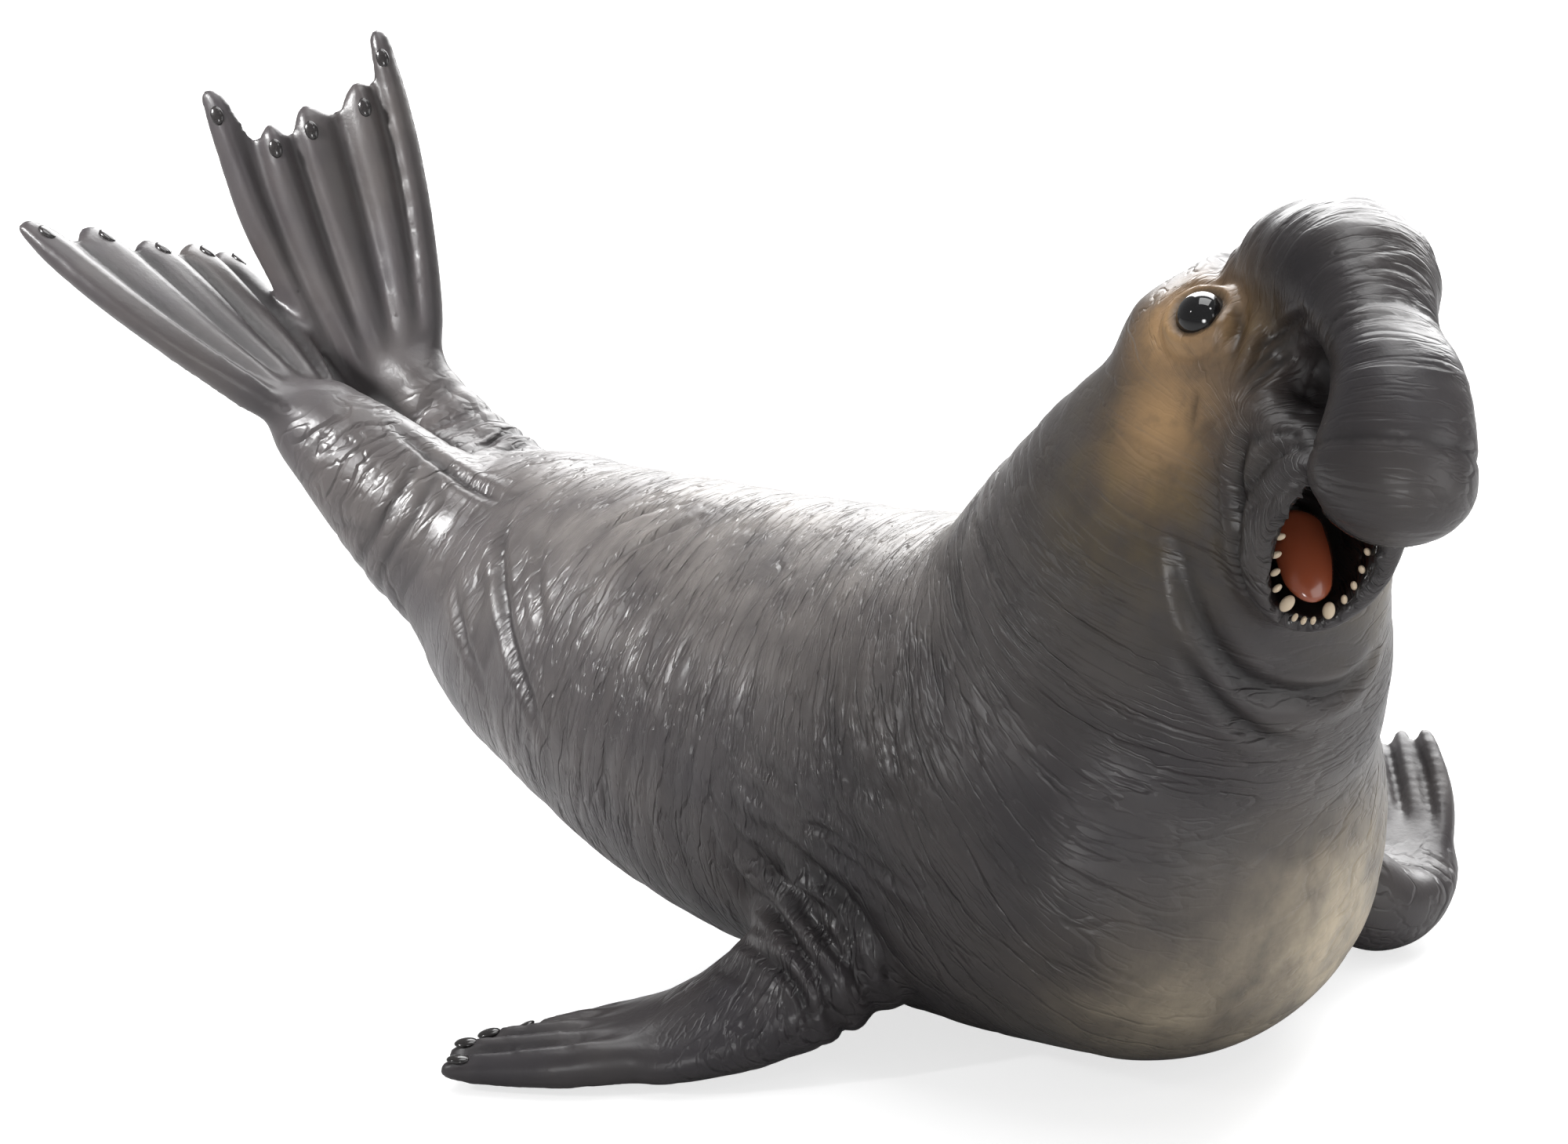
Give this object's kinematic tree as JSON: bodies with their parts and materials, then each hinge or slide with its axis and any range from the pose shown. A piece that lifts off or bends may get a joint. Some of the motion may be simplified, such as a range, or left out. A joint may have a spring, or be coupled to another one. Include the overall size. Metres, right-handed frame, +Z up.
{
  "type": "elephant seal toy figure",
  "caption": "Moulded toy figure of a bull elephant seal lying on its chest and front flippers, mouth open under a hanging nose, tail end lifted.",
  "frame": {"origin": "on the chest's contact flat, under the middle of the chest", "axes": "+X towards the head, +Y towards the figure's left, +Z up"},
  "size_m": [0.1418, 0.0885, 0.0722],
  "materials": {
    "skin": "satin dark grey vinyl, lighter on the back, with tan paint round the eyes and pale paint under the chest",
    "eye": "glossy black",
    "tongue": "glossy brick red"
  },
  "bodies": {
    "root": {"hips": "skin", "torso": "skin", "chest": "skin", "neck": "skin", "head": "skin", "lower_jaw": "skin", "nose": "skin", "tail": "skin", "front_flipper_right": "skin", "front_flipper_left": "skin", "hind_flipper_right": "skin", "hind_flipper_left": "skin", "eye_left": "eye", "eye_right": "eye", "tongue": "tongue"}
  },
  "joints": []
}
